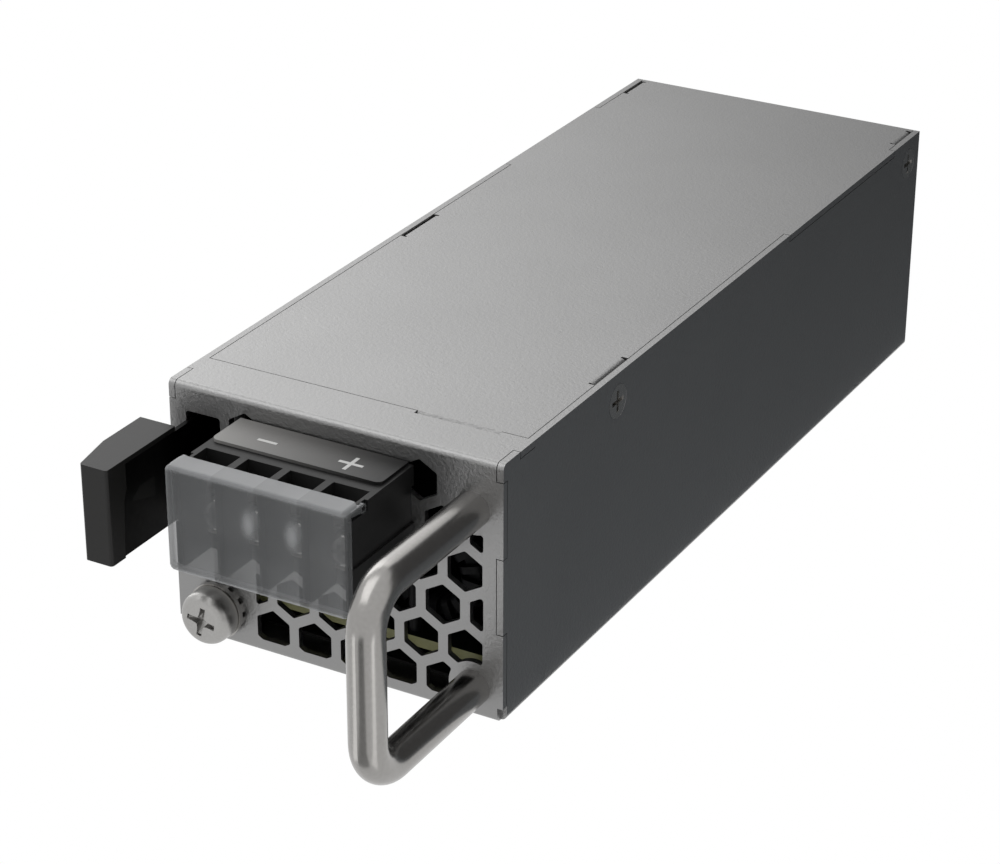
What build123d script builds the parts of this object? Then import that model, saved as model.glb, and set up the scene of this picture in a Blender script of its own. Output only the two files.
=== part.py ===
from build123d import *
import math
import os

os.makedirs("parts", exist_ok=True)

# Plug-in rack power supply with a folded steel case. X runs to the right along the front
# face, Y from the front to the rear and Z up. The origin is the centre of the case's
# bottom face. Depths are measured from the front face, insets from the nearest side and
# drops from the top.

# Case
CASE_W = 54.0
CASE_H = 40.2
CASE_D = 145.0
SHEET = 1.0
BEND = 0.9
SEAM = 0.12
CLEAR = 0.3
SLIP = 0.05

FRONT = -CASE_D / 2
REAR = CASE_D / 2
HALF_W = CASE_W / 2
WALL_IN = HALF_W - SHEET
LID_Z = CASE_H - SHEET
OVER = 1.0

# Front face
FLANGE_D = 8.6
TONGUE_LOW = (14.1, 25.7)
TONGUE_TOP_DROP = 2.7
TONGUE_TOP_D = 4.5
RELIEF_W = 0.9
RELIEF_H = 2.3
HEX_FLATS = 5.5
HEX_PITCH = 7.05
HEX_X0 = -3.65
HEX_Z0 = 4.2
HEX_ROWS = 6
HEX_COLUMNS = range(-2, 5)
HEX_CORNER = 0.4
VENT_INSET = (13.5, 3.1)
VENT_BOTTOM = 2.1

# Screws with a round cross-recess head, as shares of the head's radius or height
HEAD_DOME = 0.45
RECESS_SPAN = 1.1
RECESS_W = 0.28
RECESS_DEPTH = 0.6
RECESS_TAPER = 12

# Top cover
EAR_RIGHT = (91.5, 134.0)
EAR_LEFT = (96.5, 128.0)
TAB_LEN = 9.5
TAB_DROP = 8.4
TAB_RIGHT_Y = 33.0
TAB_LEFT_Y = 66.2
REAR_TAB_LEN = 6.4
TAB_RELIEF = 0.4
HOOK_INSET = (18.5, 5.0)
HOOK_NOTCH = 0.8
HOOK_REACH = 5.0
COVER_SCREW_DROP = 4.4
COVER_HEAD_R = 2.6
COVER_SHANK_R = 1.45
COVER_SCREW_LEN = 4.5
COVER_RECESS = (3.4, 0.68)

# Handle
HANDLE_INSET = 4.7
HANDLE_LOW_Z = 4.7
HANDLE_SPAN = 27.8
HANDLE_REACH = 27.4
HANDLE_R = 2.64
HANDLE_BEND = 6.1
FOOT_KEEP = 3.93
HANDLE_SCREW_R = 1.5
HANDLE_SCREW_LEN = 8.0
HANDLE_HEAD_R = 2.4
HANDLE_HEAD_H = 1.8

# Terminal block
BLOCK_INSET = (11.9, 13.9)
BLOCK_DROP = (18.9, 3.4)
BLOCK_BASE = 9.6
BLOCK_REACH = 16.0
BLOCK_END = 1.0
BLOCK_RIB = 1.2
TERMINALS = 4
BAND_INSET = (6.7, 3.1)
BAND_D = 0.4
TERMINAL_RISE = 7.2
CONTACT_T = 0.8
CONTACT_H = 8.6
CONTACT_SIDE = 0.25
BLADE_W = 3.0
BLADE_T = 1.0
BLADE_RISE = 3.7
BLADE_INSIDE = 3.6
CLAMP = 5.0
CLAMP_T = 0.8
CLAMP_CORNER = 0.6
TERMINAL_SHANK_R = 1.5
TERMINAL_HEAD_R = 2.4
TERMINAL_HEAD_H = 1.8
TERMINAL_SCREW_LEN = 6.5
WINDOW_SIDE = 1.9
WINDOW_INSET = (2.9, 3.8)
BLOCK_SCREW_R = 1.0
BLOCK_SCREW_LEN = 4.6
BLOCK_SCREW_X = 7.0
BLOCK_SCREW_INSET = 1.7
BLOCK_HEAD_R = 1.7
BLOCK_HEAD_H = 1.3
LABEL_D = (0.3, 7.6)
LABEL_SIDE = (0.4, 0.6)
LABEL_T = 0.45
LABEL_CORNER = 1.0

# Flap over the terminals
FLAP_T = 1.4
FLAP_SIDE = 0.3
FLAP_BOTTOM = 0.15
FLAP_CORNER = 0.9
FLAP_EDGE = 0.35
LIP_T = 0.4
LIP_BACK = 14.1
LIP_CORNER = 1.3
HINGE_D = 13.3
HINGE_DROP = 0.5
PEG_R = 0.35
HOOK_R = 0.7
HOOK_T = 0.5

# Latch
LATCH_DROP = 12.2
LEVER_GAP = 2.05
LEVER_T = 0.7
LEVER_LOW = 7.0
LEVER_HIGH = 6.7
LEVER_TIP_D = (15.8, 16.5, 16.9)
LEVER_STEP = (1.3, 3.0)
PIVOT_D = 46.0
PIN_R = 1.0
PIN_HEAD = 0.7
PIN_FOOT = 0.5
EYE_T = 0.7
EYE_H = 9.8
EYE_GAP_H = 4.4
NECK_D = 40.0
NECK_TAPER = 2.5
TOOTH_LOW = 3.8
TOOTH_HIGH = 3.0
TOOTH_FACE_D = 14.8
TOOTH_ROOT_D = 23.0
TOOTH_OUT = 1.8
TOOTH_LEG = 3.6
TOOTH_RAKE = 0.2
TOOTH_WINDOW = (0.9, 5.4)
LANCE_GAP = 1.0
BRACKET_D = (41.5, 50.0)
BRACKET_T = 0.8
EAR_R = 2.2
RIVET_R = 1.0
RIVET_HEAD_R = 1.9
RIVET_HEAD_H = 0.5
SPRING_WIRE = 0.5
SPRING_TURNS = 6
SPRING_PACK = 0.94
SPRING_LEG = (9.0, 3.5)
SPRING_SPREAD = 0.65
SLOT_W = 5.75
SLOT_H = 16.0
SLOT_CORNER = 0.5
CAP_OUT = 2.15
CAP_D = (4.1, 20.1)
CAP_LOW = 7.3
CAP_HIGH = 7.5
CAP_TAPER_D = 12.85
CAP_TAPER = 1.4
CAP_ROUND = 0.5
KEY_D = (9.4, 12.8, 15.0)
KEY_RISE = (-1.0, 0.6, 2.1)
KEY_CORNER = 0.3

# Earth screw
EARTH_INSET = 7.15
EARTH_Z = 5.4
EARTH_SHANK_R = 2.0
EARTH_HEAD_R = 4.1
EARTH_HEAD_H = 3.7
EARTH_SKIRT_H = 2.6
EARTH_SHOULDER = (3.7, 3.33)
EARTH_CROWN_R = 2.65
EARTH_RECESS = (4.9, 1.15, 2.0)
EARTH_TURN = 24
WASHER_R = 4.35
WASHER_T = 0.65
TOOTHED_R = 4.14
TOOTHED_T = 0.7
TOOTHED_COUNT = 12
TOOTHED_NOTCH = (1.8, 0.87)
NUT_R = 3.6
NUT_H = 2.2

# Main board
BOARD_Z = 5.4
BOARD_T = 1.6
BOARD_FRONT = 4.5
BOARD_SIDE = 1.5
BOARD_BACK = 0.4
EDGE_W = 36.0
EDGE_OUT = 8.0
EDGE_BEVEL = 0.8
PAD_T = 0.08
PAD_LEN = 6.5
PAD_PITCH = 2.25
PAD_W = 1.6
PADS = 8
SPACER_R = 2.6
SPACER_INSET = 4.0
SPACER_D = (14.0, 72.0, 124.0)
BOARD_SCREW_R = 1.25
BOARD_SCREW_LEN = 4.5
BOARD_HEAD_R = 2.4
BOARD_HEAD_H = 1.6
FILM_T = 0.4
FILM_D = (6.0, 141.0)

# Parts on the board
LEAD_R = 0.9
LEAD_D = 6.2
LEAD_BEND = 1.2
CHOKE_R = (4.2, 8.2)
CHOKE_T = 7.0
CHOKE_POS = (10.5, 12.5)
CHOKE_WIRE = 1.1
CHOKE_TURNS = 15
CHOKE_SPREAD = 300
FILTER_X = (-16.0, -4.5)
FILTER_D = (8.5, 22.0)
FILTER_H = 13.0
FILTER_ROUND = 0.8
SINK_GAP = 3.5
SINK_BASE = 2.0
SINK_OUT = 5.5
SINK_H = 24.0
SINK_FINS = 6
SINK_FIN_T = 1.1
SINK_RIGHT_D = (26.0, 66.0)
SINK_LEFT_D = (77.0, 117.0)
POWER_W = 10.0
POWER_H = 15.0
POWER_T = 4.5
POWER_COUNT = 3
CORE_X = (-15.0, 5.0)
CORE_D = (31.0, 59.0)
CORE_H = 24.0
CORE_LEG = 5.0
WINDING_OVER = 3.5
WINDING_ROUND = 3.0
CAPACITOR_R = 6.5
CAPACITOR_H = 27.0
CAPACITOR_X = 12.0
CAPACITOR_D = (84.0, 98.5, 113.0)
CAPACITOR_ROUND = 0.8
GROOVE_Z = 3.0
GROOVE_H = 0.9
GROOVE_D = 0.4

# Fan and rear panel
FAN_ROOM = 1.7
FAN_DEPTH = 15.0
FAN_WALL = 1.1
FAN_TIP_GAP = 0.6
FAN_HUB_R = 7.2
FAN_HUB_DEPTH = 10.0
FAN_HUB_ROUND = 1.0
FAN_BLADES = 7
FAN_BLADE_T = 0.9
FAN_BLADE_PITCH = 38.0
FAN_BLADE_CHORD = 9.35
FAN_SPIDER_ARMS = 3
FAN_SPIDER_T = 2.0
FAN_SPIDER_W = 1.8
FAN_SHAFT_R = 1.0
FAN_HOLE_INSET = 3.0
FAN_SCREW_R = 1.5
FAN_SCREW_LEN = 8.0
FAN_HEAD_R = 2.6
FAN_HEAD_H = 1.4
FAN_LIFT = 0.5
FAN_CORNER = 2.0
REAR_FLANGE_D = 7.0
REAR_FLANGE_Z = (4.0, 30.0)
REAR_HEX_FLATS = 4.7
REAR_HEX_PITCH = 5.9
REAR_HEX_ROWS = 5

# Places worked out from the sizes above
BOARD_TOP = BOARD_Z + BOARD_T
HANDLE_X = HALF_W - HANDLE_INSET
HANDLE_HIGH_Z = HANDLE_LOW_Z + HANDLE_SPAN
HEX_ROW = HEX_PITCH * math.sqrt(3) / 2
VENT_X = (-HALF_W + VENT_INSET[0], HALF_W - VENT_INSET[1])
HOOK_X = (HALF_W - HOOK_INSET[0], HALF_W - HOOK_INSET[1])
BLOCK_X = (-HALF_W + BLOCK_INSET[0], HALF_W - BLOCK_INSET[1])
BLOCK_Z = (CASE_H - BLOCK_DROP[0], CASE_H - BLOCK_DROP[1])
BLOCK_MID = sum(BLOCK_X) / 2
BAND_Z = (BLOCK_Z[0] + BAND_INSET[0], BLOCK_Z[1] - BAND_INSET[1])
POCKET_W = (BLOCK_X[1] - BLOCK_X[0] - 2 * BLOCK_END - (TERMINALS - 1) * BLOCK_RIB) / TERMINALS
POCKET_X = [BLOCK_X[0] + BLOCK_END + i * (POCKET_W + BLOCK_RIB) for i in range(TERMINALS)]
TERMINAL_X = [left + POCKET_W / 2 for left in POCKET_X]
TERMINAL_Z = BLOCK_Z[0] + TERMINAL_RISE
BLADE_Z = BLOCK_Z[0] + BLADE_RISE
FLAP_X = (BLOCK_X[0] - FLAP_SIDE, BLOCK_X[1] + FLAP_SIDE)
FLAP_Z = (BLOCK_Z[0] + FLAP_BOTTOM, BLOCK_Z[1] + CLEAR + LIP_T)
HINGE_Y = FRONT - HINGE_D
HINGE_Z = BLOCK_Z[1] - HINGE_DROP
LATCH_Z = CASE_H - LATCH_DROP
LEVER_X = -WALL_IN + LEVER_GAP
LEVER_Z = (LATCH_Z - LEVER_LOW, LATCH_Z + LEVER_HIGH)
EYE_Z = (LATCH_Z - EYE_H / 2, LATCH_Z + EYE_H / 2)
EYE_GAP = (LATCH_Z - EYE_GAP_H / 2, LATCH_Z + EYE_GAP_H / 2)
TOOTH_Z = (LATCH_Z - TOOTH_LOW, LATCH_Z + TOOTH_HIGH)
PIVOT_X = LEVER_X + EYE_T + PIN_R + SLIP
PIVOT_Y = FRONT + PIVOT_D
SLOT_X = (LEVER_X - CLEAR, LEVER_X - CLEAR + SLOT_W)
SLOT_Z = (LATCH_Z - SLOT_H / 2, LATCH_Z + SLOT_H / 2)
CAP_LEFT = -HALF_W - CAP_OUT
CAP_Z = (LATCH_Z - CAP_LOW, LATCH_Z + CAP_HIGH)
EARTH_X = -HALF_W + EARTH_INSET
COVER_SCREW_Z = CASE_H - COVER_SCREW_DROP
REAR_TAB_Y = CASE_D - SHEET - CLEAR - REAR_TAB_LEN / 2
BOARD_HALF = WALL_IN - BOARD_SIDE
SPACER_X = BOARD_HALF - SPACER_INSET
SPACERS = [(x, FRONT + d) for d in SPACER_D for x in (-SPACER_X, SPACER_X)]
SINK_X = WALL_IN - SINK_GAP - SINK_OUT - SINK_BASE
FAN_SIZE = LID_Z - BOARD_TOP - FAN_LIFT - FAN_ROOM
FAN_BORE_R = FAN_SIZE / 2 - FAN_WALL
FAN_TIP_R = FAN_BORE_R - FAN_TIP_GAP
FAN_Z = BOARD_TOP + FAN_LIFT + FAN_SIZE / 2
FAN_REAR = REAR - SHEET


def block(x, y, z):
    """Rectangular solid between two limits on each axis."""
    size = [high - low for low, high in (x, y, z)]
    middle = [(high + low) / 2 for low, high in (x, y, z)]
    return Pos(*middle) * Box(*size)


def rod(radius, start, end):
    """Round bar between two points."""
    line = Vector(*end) - Vector(*start)
    return extrude(Plane(origin=start, z_dir=line) * Circle(radius), amount=line.length)


def upright(y):
    """Plane across the case at depth y, drawn in X and Z and facing the front."""
    return Plane(origin=(0, y, 0), x_dir=(1, 0, 0), z_dir=(0, -1, 0))


def sideways(x):
    """Plane along the case at width x, drawn in Y and Z and facing the right."""
    return Plane(origin=(x, 0, 0), x_dir=(0, 1, 0), z_dir=(1, 0, 0))


def rectangle(x, z):
    """Flat rectangle between two limits on each axis."""
    middle = Pos(sum(x) / 2, sum(z) / 2)
    return middle * Rectangle(x[1] - x[0], z[1] - z[0])


def outline(*points):
    """Flat face inside a closed outline."""
    return make_face(Polyline(*points, close=True))


def cross_recess(span, width, depth):
    """Cross-shaped recess, its mouth at height zero."""
    cross = Rectangle(span, width) + Rectangle(width, span)
    return extrude(cross, amount=-depth, taper=RECESS_TAPER)


def pan_screw(seat, way, head_r, head_h, shank_r, length):
    """Round-headed cross-recess screw whose head rises from the seat."""
    head = Pos(0, 0, head_h / 2) * Cylinder(head_r, head_h)
    rim = head.edges().filter_by(GeomType.CIRCLE).sort_by(Axis.Z)[-1]
    head = fillet(rim, head_h * HEAD_DOME)
    shank = Pos(0, 0, -length / 2) * Cylinder(shank_r, length)
    cross = cross_recess(head_r * RECESS_SPAN, head_r * RECESS_W, head_h * RECESS_DEPTH)
    recess = Pos(0, 0, head_h) * cross
    return Plane(origin=seat, z_dir=way) * (head + shank - recess)


def mirrored(solid):
    """The solid and its mirror image on the other side of the case."""
    return [solid, mirror(solid, about=Plane.YZ)]


def vent_centres():
    """Centres of the vents in the front face, row by row in a honeycomb."""
    centres = []
    half = HEX_FLATS / 2
    block_half = (BLOCK_X[1] - BLOCK_X[0]) / 2 - BLOCK_END - BLOCK_RIB
    feet = (HANDLE_LOW_Z, HANDLE_HIGH_Z)
    for row in range(HEX_ROWS):
        z = HEX_Z0 + row * HEX_ROW
        shift = HEX_X0 + (row % 2) * HEX_PITCH / 2
        for x in [shift + column * HEX_PITCH for column in HEX_COLUMNS]:
            near_foot = any(math.hypot(x - HANDLE_X, z - foot) < FOOT_KEEP for foot in feet)
            inside = SLOT_X[1] + half < x < VENT_X[1] + half
            open_row = x > VENT_X[0] - half if z < BLOCK_Z[0] else abs(x - BLOCK_MID) > block_half
            if inside and open_row and not near_foot:
                centres.append((x, z))
    return centres


def hexagon(flats):
    """Hexagon with its points up and down, by its width across flats."""
    return RegularPolygon(flats / math.sqrt(3), 6, rotation=30)


def front_vents():
    """Hexagons cut back at the handle feet and at the borders of the field.

    Drawing each outline in and out again by the corner radius rounds its corners.
    """
    holes = []
    for x, z in vent_centres():
        left = VENT_X[0] if z < BLOCK_Z[0] else x - HEX_FLATS
        hole = Pos(x, z) * hexagon(HEX_FLATS) & rectangle((left, VENT_X[1]), (VENT_BOTTOM, CASE_H))
        for foot in (HANDLE_LOW_Z, HANDLE_HIGH_Z):
            hole -= Pos(HANDLE_X, foot) * Circle(FOOT_KEEP)
        holes.append(offset(offset(hole, -HEX_CORNER), HEX_CORNER))
    return holes


def chassis():
    """Floor, walls, front face and top flange, folded from one sheet."""
    outer = block((-HALF_W, HALF_W), (FRONT, REAR), (0, CASE_H))
    across = outer.edges().filter_by(Axis.X).group_by(Axis.Y)[0]
    along = outer.edges().filter_by(Axis.Y).group_by(Axis.Z)[0]
    outer = fillet(across + along, BEND)
    inside = block((-WALL_IN, WALL_IN), (FRONT + SHEET, REAR + OVER), (SHEET, CASE_H + OVER))
    flange = block((-HALF_W, HALF_W), (FRONT, FRONT + FLANGE_D), (LID_Z, CASE_H))
    shell = outer - inside + (outer & flange)
    for cut in fold_seams() + wall_cuts():
        shell -= cut
    face = upright(FRONT + SHEET + SEAM / 2)
    for hole in front_vents() + front_openings():
        shell -= extrude(face * hole, amount=SHEET + OVER)
    return shell


def fold_seams():
    """Slits where a fold meets another: tongues, front edges, flange ends and reliefs."""
    wall = (WALL_IN - SEAM, HALF_W + OVER)
    low, high = TONGUE_LOW
    top = CASE_H - TONGUE_TOP_DROP
    behind = (FRONT + SHEET, FRONT + SHEET + SEAM)
    through = (FRONT - OVER, FRONT + SHEET)
    slit = (WALL_IN - SEAM, WALL_IN)
    cuts = [
        block(wall, behind, (RELIEF_H, low)),
        block(wall, behind, (high, top)),
        block(slit, through, TONGUE_LOW),
        block(wall, through, (low - SEAM, low)),
        block(wall, through, (high, high + SEAM)),
        block(slit, (FRONT - OVER, FRONT + TONGUE_TOP_D), (top, CASE_H + OVER)),
        block(wall, through, (top - SEAM, top)),
        block(wall, (FRONT + TONGUE_TOP_D, FRONT + TONGUE_TOP_D + SEAM), (LID_Z, CASE_H + OVER)),
        block(wall, (FRONT + TONGUE_TOP_D, FRONT + FLANGE_D + SEAM), (LID_Z - SEAM, LID_Z)),
        block((HALF_W - RELIEF_W, HALF_W + OVER), (FRONT - OVER, behind[1]), (-OVER, RELIEF_H)),
    ]
    both = []
    for cut in cuts:
        both += mirrored(cut)
    return both


def wall_cuts():
    """Recesses for the cover's ears, its hook notch, screw seats and the latch window."""
    ear_top = (LID_Z - SEAM, CASE_H + OVER)
    right = (WALL_IN - SEAM, HALF_W + OVER)
    left = (-HALF_W - OVER, -WALL_IN + SEAM)
    cuts = []
    for side, span in ((right, EAR_RIGHT), (left, EAR_LEFT)):
        cuts.append(block(side, (FRONT + span[0] - SEAM, FRONT + span[1] + SEAM), ear_top))
    notch = (FRONT + FLANGE_D - HOOK_NOTCH, FRONT + FLANGE_D + OVER)
    cuts.append(block(HOOK_X, notch, (LID_Z - SEAM, CASE_H + OVER)))
    for side, y in cover_screw_places():
        cuts.append(screw_cone(side, y, SLIP))
    tooth = FRONT + TOOTH_FACE_D
    window = (tooth - TOOTH_WINDOW[0], tooth + TOOTH_WINDOW[1])
    cuts.append(block(left, window, (TOOTH_Z[0] - CLEAR, TOOTH_Z[1] + CLEAR)))
    for z in rivet_heights():
        cuts.append(rivet_shape(z, SLIP))
    return cuts


def front_openings():
    """Latch slot, terminal window and screw holes in the front face."""
    slot = rectangle(SLOT_X, SLOT_Z)
    width = (BLOCK_X[0] + WINDOW_SIDE, BLOCK_X[1] - WINDOW_SIDE)
    window = rectangle(width, (BLOCK_Z[0] + WINDOW_INSET[0], BLOCK_Z[1] - WINDOW_INSET[1]))
    return [
        fillet(slot.vertices(), SLOT_CORNER),
        fillet(window.vertices(), SLOT_CORNER),
        Pos(HANDLE_X, HANDLE_LOW_Z) * Circle(HANDLE_SCREW_R + SLIP),
        Pos(HANDLE_X, HANDLE_HIGH_Z) * Circle(HANDLE_SCREW_R + SLIP),
        Pos(EARTH_X, EARTH_Z) * Circle(EARTH_SHANK_R + SLIP),
    ] + [Pos(x, z) * Circle(BLOCK_SCREW_R + SLIP) for x, z in block_screw_places()]


def cover_screw_places():
    """Side and depth of each screw that holds the cover: 1 is right, -1 left."""
    return [
        (1, FRONT + TAB_RIGHT_Y),
        (1, FRONT + REAR_TAB_Y),
        (-1, FRONT + TAB_LEFT_Y),
        (-1, FRONT + REAR_TAB_Y),
    ]


def screw_cone(side, y, gap):
    """Countersunk head with its shank, its flat face flush with the wall."""
    plane = Plane(origin=(side * HALF_W, y, COVER_SCREW_Z), z_dir=(side, 0, 0))
    drop = COVER_HEAD_R - COVER_SHANK_R
    cone = Pos(0, 0, -drop / 2) * Cone(COVER_SHANK_R + gap, COVER_HEAD_R + gap, drop)
    shank = Pos(0, 0, -COVER_SCREW_LEN / 2) * Cylinder(COVER_SHANK_R + gap, COVER_SCREW_LEN)
    return plane * (cone + shank)


def cover_screws():
    """Countersunk cross-recess screws through the walls into the cover's tabs."""
    screws = []
    for side, y in cover_screw_places():
        plane = Plane(origin=(side * HALF_W, y, COVER_SCREW_Z), z_dir=(side, 0, 0))
        recess = cross_recess(*COVER_RECESS, SHEET)
        screws.append(screw_cone(side, y, 0) - plane * recess)
    return screws


def top_cover():
    """Flat cover flush between the walls, with ears, screw tabs and a front tongue."""
    edge = WALL_IN - SEAM
    start = FRONT + FLANGE_D + SEAM
    lid = block((-edge, edge), (start, REAR), (LID_Z, CASE_H))
    lid += block((0, HALF_W), (FRONT + EAR_RIGHT[0], FRONT + EAR_RIGHT[1]), (LID_Z, CASE_H))
    lid += block((-HALF_W, 0), (FRONT + EAR_LEFT[0], FRONT + EAR_LEFT[1]), (LID_Z, CASE_H))
    for side, y in cover_screw_places():
        length = REAR_TAB_LEN if y == FRONT + REAR_TAB_Y else TAB_LEN
        lid = add_tab(lid, side, (y - length / 2, y + length / 2))
        lid -= screw_cone(side, y, SLIP)
    return lid + front_tongue()


def add_tab(lid, side, span):
    """Cover with one edge tab folded down inside the wall, relieved at both ends."""
    edge = WALL_IN - SEAM
    across = tuple(sorted((side * (edge - SHEET), side * edge)))
    relief = tuple(sorted((side * (edge - SHEET), side * (HALF_W + OVER))))
    lid -= block(relief, (span[0] - TAB_RELIEF, span[1] + TAB_RELIEF), (LID_Z - OVER, CASE_H + OVER))
    tab = block(across, span, (CASE_H - TAB_DROP, CASE_H))
    fold = tab.edges().filter_by(Axis.Y).group_by(Axis.Z)[-1].sort_by(Axis.X)
    return lid + fillet(fold[-1 if side > 0 else 0], SHEET - SLIP)


def front_tongue():
    """Stepped tongue of the cover that slides under the front flange."""
    start = FRONT + FLANGE_D + SEAM
    low = LID_Z - SEAM
    profile = outline(
        (start, CASE_H),
        (start - HOOK_NOTCH, low),
        (start - HOOK_REACH, low),
        (start - HOOK_REACH, low - SHEET),
        (start, low - SHEET),
        (start + SHEET, LID_Z),
        (start + SHEET, CASE_H),
    )
    left = HOOK_X[0] + SEAM
    return extrude(sideways(left) * profile, amount=HOOK_X[1] - HOOK_X[0] - 2 * SEAM)


def handle():
    """Round bar bent to a U, standing upright on the front face."""
    low = FRONT - HANDLE_REACH
    path = FilletPolyline(
        (HANDLE_X, FRONT, HANDLE_LOW_Z),
        (HANDLE_X, low, HANDLE_LOW_Z),
        (HANDLE_X, low, HANDLE_HIGH_Z),
        (HANDLE_X, FRONT, HANDLE_HIGH_Z),
        radius=HANDLE_BEND,
    )
    section = Plane(origin=(HANDLE_X, FRONT, HANDLE_LOW_Z), z_dir=(0, -1, 0)) * Circle(HANDLE_R)
    bar = sweep(section, path=path)
    for z in (HANDLE_LOW_Z, HANDLE_HIGH_Z):
        depth = HANDLE_SCREW_LEN - SHEET + OVER
        bar -= rod(HANDLE_SCREW_R + SLIP, (HANDLE_X, FRONT + OVER, z), (HANDLE_X, FRONT - depth, z))
    return bar


def handle_screws():
    """Screws from inside the case into the ends of the handle."""
    size = (HANDLE_HEAD_R, HANDLE_HEAD_H, HANDLE_SCREW_R, HANDLE_SCREW_LEN)
    heights = (HANDLE_LOW_Z, HANDLE_HIGH_Z)
    return [pan_screw((HANDLE_X, FRONT + SHEET, z), (0, 1, 0), *size) for z in heights]


def terminal_housing():
    """Moulded barrier block: a base with slots, ribs between open pockets, hinge pegs."""
    face = FRONT - BLOCK_BASE
    body = block(BLOCK_X, (FRONT - BLOCK_REACH, FRONT), BLOCK_Z)
    for left in POCKET_X:
        body -= block((left, left + POCKET_W), (FRONT - BLOCK_REACH - OVER, face), (0, CASE_H))
    for x in TERMINAL_X:
        body -= rod(TERMINAL_SHANK_R + SLIP, (x, face, TERMINAL_Z), (x, FRONT - OVER, TERMINAL_Z))
        slot = (x - BLADE_W / 2 - SLIP, x + BLADE_W / 2 + SLIP)
        body -= block(slot, (face, FRONT), (BLADE_Z - SLIP, BLADE_Z + BLADE_T + SLIP))
    for edge in (BLOCK_X[0], BLOCK_X[1] - BAND_D):
        body -= block((edge, edge + BAND_D), (FRONT - BLOCK_REACH, FRONT), BAND_Z)
    for x, z in block_screw_places():
        body -= rod(BLOCK_SCREW_R + SLIP, (x, FRONT, z), (x, FRONT - BLOCK_SCREW_LEN, z))
    for side in (-1, 1):
        body = add_hinge_end(body, side)
    return body


def add_hinge_end(body, side):
    """Block with one end notched for the flap's hook, and the peg in the notch."""
    end = BLOCK_MID + side * (BLOCK_X[1] - BLOCK_MID)
    seat = end - side * (CLEAR + HOOK_T - FLAP_SIDE)
    across = tuple(sorted((seat, end + side * OVER)))
    rear = HINGE_Y + FLAP_Z[1] - HINGE_Z + CLEAR
    low = HINGE_Z - HOOK_R - CLEAR
    body -= block(across, (FRONT - BLOCK_REACH - OVER, rear), (low, CASE_H))
    return body + rod(PEG_R, (seat, HINGE_Y, HINGE_Z), (end + side * FLAP_SIDE, HINGE_Y, HINGE_Z))


def block_screw_places():
    """Centres of the four screws that hold the block from behind."""
    heights = (BLOCK_Z[0] + BLOCK_SCREW_INSET, BLOCK_Z[1] - BLOCK_SCREW_INSET)
    return [(BLOCK_MID + side * BLOCK_SCREW_X, z) for side in (-1, 1) for z in heights]


def block_screws():
    """Screws from inside the case into the base of the terminal block."""
    size = (BLOCK_HEAD_R, BLOCK_HEAD_H, BLOCK_SCREW_R, BLOCK_SCREW_LEN)
    return [pan_screw((x, FRONT + SHEET, z), (0, 1, 0), *size) for x, z in block_screw_places()]


def terminal_contacts():
    """Plates behind the screws, each with a blade through the block into the case."""
    plates = []
    for x in TERMINAL_X:
        half = POCKET_W / 2 - CONTACT_SIDE
        face = FRONT - BLOCK_BASE - CONTACT_T
        top = TERMINAL_Z + CONTACT_H / 2
        plate = block((x - half, x + half), (face, FRONT - BLOCK_BASE), (top - CONTACT_H, top))
        blade = (x - BLADE_W / 2, x + BLADE_W / 2)
        plate += block(blade, (face, FRONT + SHEET + BLADE_INSIDE), (BLADE_Z, BLADE_Z + BLADE_T))
        bore = rod(TERMINAL_SHANK_R + SLIP, (x, face - OVER, TERMINAL_Z), (x, FRONT, TERMINAL_Z))
        plates.append(plate - bore)
    return plates


def terminal_clamps():
    """Square clamp plates under the heads of the terminal screws."""
    seat = FRONT - BLOCK_BASE - CONTACT_T
    clamps = []
    for x in TERMINAL_X:
        square = Pos(x, TERMINAL_Z) * Rectangle(CLAMP, CLAMP)
        square = fillet(square.vertices(), CLAMP_CORNER)
        square -= Pos(x, TERMINAL_Z) * Circle(TERMINAL_SHANK_R + SLIP)
        clamps.append(extrude(upright(seat) * square, amount=CLAMP_T))
    return clamps


def terminal_screws():
    """Screws that press the clamp plates on the contacts."""
    seat = FRONT - BLOCK_BASE - CONTACT_T - CLAMP_T
    size = (TERMINAL_HEAD_R, TERMINAL_HEAD_H, TERMINAL_SHANK_R, TERMINAL_SCREW_LEN)
    return [pan_screw((x, seat, TERMINAL_Z), (0, -1, 0), *size) for x in TERMINAL_X]


def terminal_label():
    """Raised plate on the block, its front corners rounded."""
    plate = block(
        (BLOCK_X[0] + LABEL_SIDE[0], BLOCK_X[1] - LABEL_SIDE[1]),
        (FRONT - LABEL_D[1], FRONT - LABEL_D[0]),
        (BLOCK_Z[1], BLOCK_Z[1] + LABEL_T),
    )
    corners = plate.edges().filter_by(Axis.Z).group_by(Axis.Y)[0]
    return fillet(corners, LABEL_CORNER)


def terminal_flap():
    """Frosted flap: rounded front plate, top lip and a hook round the peg at each end."""
    back = FRONT - BLOCK_REACH - CLEAR
    middle = back - FLAP_T / 2
    shape = rectangle(FLAP_X, FLAP_Z)
    shape = fillet(shape.vertices(), FLAP_CORNER)
    plate = extrude(upright(back) * shape, amount=FLAP_T)
    plate = fillet(plate.faces().sort_by(Axis.Y)[0].edges(), FLAP_EDGE)
    lip = extrude(upright(FRONT - LIP_BACK) * shape, amount=FRONT - LIP_BACK - middle)
    lip &= block(FLAP_X, (middle, FRONT), (FLAP_Z[1] - LIP_T, FLAP_Z[1]))
    plan = rectangle(FLAP_X, (middle, FRONT - LIP_BACK))
    plan = fillet(plan.vertices().group_by(Axis.Y)[-1], LIP_CORNER)
    flap = plate + (lip & extrude(plan, amount=CASE_H))
    return flap + flap_hook(FLAP_X[0], back) + flap_hook(FLAP_X[1] - HOOK_T, back)


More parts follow.
